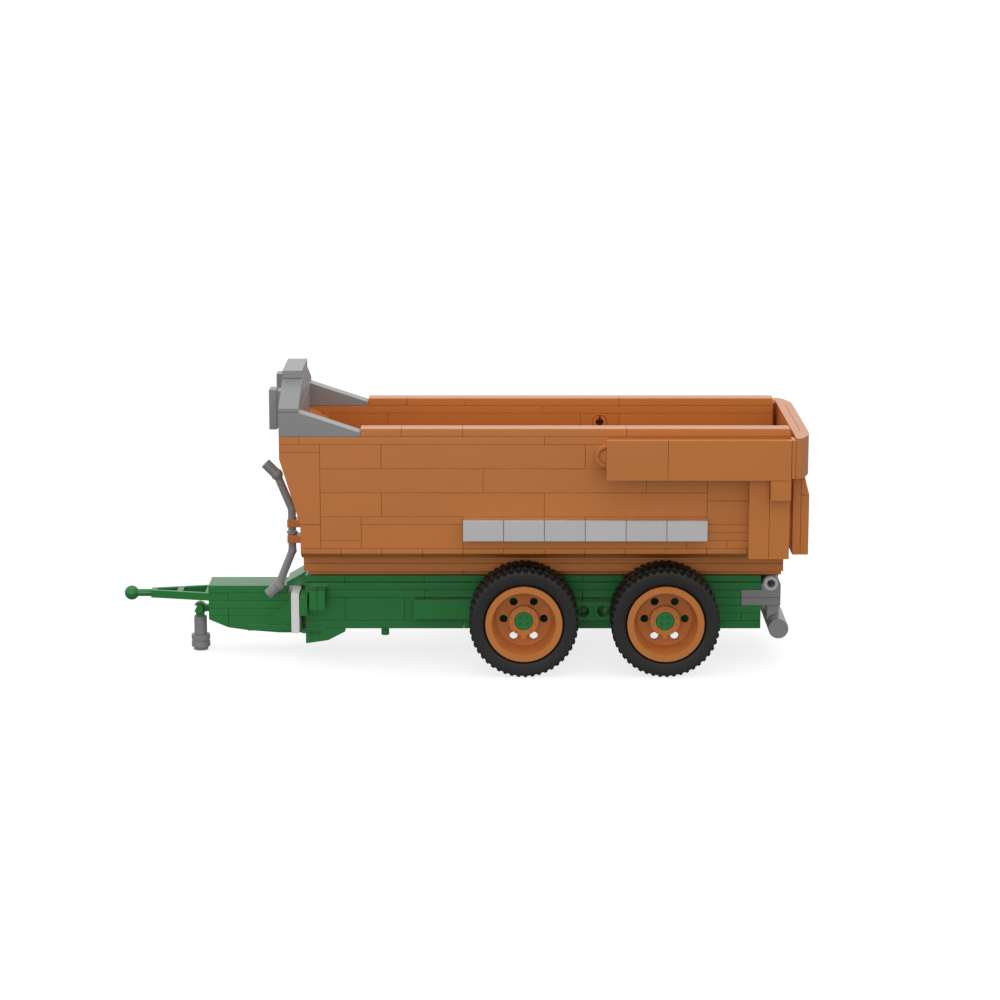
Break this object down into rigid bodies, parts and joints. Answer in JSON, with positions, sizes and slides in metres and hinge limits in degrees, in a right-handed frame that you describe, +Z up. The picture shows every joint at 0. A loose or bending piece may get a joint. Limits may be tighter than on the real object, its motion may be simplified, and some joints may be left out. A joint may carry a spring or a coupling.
{
  "type": "toy tipping trailer",
  "caption": "Toy-brick half-pipe tipping farm trailer with tandem axles, a swinging tailgate, a ball drawbar and a folding jack.",
  "frame": {"origin": "middle of the bounding box's base, on the ground under the tyres", "axes": "+X towards the tailgate, -X towards the tow ball, +Y towards the trailer's right wheels, +Z up"},
  "size_m": [0.275, 0.0962, 0.1182],
  "materials": {
    "orange_plastic": "glossy moulded",
    "green_plastic": "glossy moulded",
    "grey_plastic": "glossy moulded",
    "silver_plastic": "glossy moulded",
    "white_plastic": "glossy moulded",
    "black_plastic": "glossy moulded",
    "black_rubber": "matt"
  },
  "bodies": {
    "chassis": {"drawbar_frame": "green_plastic", "drawbar_box": "green_plastic", "drawbar_top_tile": "green_plastic", "drawbar_side_slopes": "green_plastic", "front_slope": "green_plastic", "reflector_plates": "white_plastic", "step_plates": "green_plastic", "front_skids": "green_plastic", "lock_peg": "green_plastic", "chassis_bottom_plates": "green_plastic", "chassis_side_bricks": "green_plastic", "chassis_core_bricks": "green_plastic", "chassis_mid_plates": "green_plastic", "chassis_top_tiles": "green_plastic", "side_cover_tiles": "green_plastic", "axle_beams": "green_plastic", "beam_pins": "black_plastic", "rear_hinge_brackets": "grey_plastic", "hinge_pins": "silver_plastic", "bumper_bar": "grey_plastic", "bumper_hangers": "grey_plastic", "jack_clip": "green_plastic"},
    "jack": {"jack_hinge_bar": "green_plastic", "jack_leg": "grey_plastic", "jack_foot": "grey_plastic"},
    "front_axle": {"front_axle_shaft": "silver_plastic", "front_axle_bushes": "silver_plastic", "front_rim_left": "orange_plastic", "front_rim_right": "orange_plastic", "front_tyre_left": "black_rubber", "front_tyre_right": "black_rubber", "front_hub_caps": "green_plastic"},
    "rear_axle": {"rear_axle_shaft": "silver_plastic", "rear_axle_bushes": "silver_plastic", "rear_rim_left": "orange_plastic", "rear_rim_right": "orange_plastic", "rear_tyre_left": "black_rubber", "rear_tyre_right": "black_rubber", "rear_hub_caps": "green_plastic"},
    "tailgate": {"gate_arms": "orange_plastic", "gate_arm_tiles": "orange_plastic", "gate_plates": "orange_plastic", "gate_tiles": "orange_plastic"},
    "hose_upper": {"hose_upper": "grey_plastic"},
    "hose_lower": {"hose_lower": "grey_plastic"},
    "tub": {"tub_floor_plates": "orange_plastic", "tub_deck_plates": "orange_plastic", "tub_sills": "orange_plastic", "tub_wall_left": "orange_plastic", "tub_wall_right": "orange_plastic", "tub_front_wall": "orange_plastic", "tub_rim_tiles": "orange_plastic", "guard_boards": "grey_plastic", "guard_ribs": "grey_plastic", "trim_tiles": "silver_plastic", "rear_posts": "orange_plastic", "tub_hinge_lugs": "black_plastic", "gate_pivot_pins": "orange_plastic", "hose_clips": "orange_plastic"}
  },
  "joints": [
    {"name": "tub_tip", "type": "hinge", "parent": "chassis", "child": "tub", "pos_m": [0.1255, 0, 0.0312], "axis": [0, 1, 0], "range_deg": [0, 50]},
    {"name": "tailgate_swing", "type": "hinge", "parent": "tub", "child": "tailgate", "pos_m": [0.0575, 0, 0.0888], "axis": [0, -1, 0], "range_deg": [0, 80]},
    {"name": "front_axle_spin", "type": "hinge", "parent": "chassis", "child": "front_axle", "pos_m": [0.0255, 0, 0.0216], "axis": [0, 1, 0], "continuous": true},
    {"name": "rear_axle_spin", "type": "hinge", "parent": "chassis", "child": "rear_axle", "pos_m": [0.0815, 0, 0.0216], "axis": [0, 1, 0], "continuous": true},
    {"name": "jack_swing", "type": "hinge", "parent": "chassis", "child": "jack", "pos_m": [-0.1067, 0, 0.0175], "axis": [0, 1, 0], "range_deg": [0, 90]},
    {"name": "hose_upper_swivel", "type": "hinge", "parent": "tub", "child": "hose_upper", "pos_m": [-0.0677, -0.012, 0.0558], "axis": [0, 0, 1], "range_deg": [-45, 45]},
    {"name": "hose_lower_swivel", "type": "hinge", "parent": "tub", "child": "hose_lower", "pos_m": [-0.0677, -0.012, 0.0494], "axis": [0, 0, 1], "range_deg": [0, 45]}
  ]
}
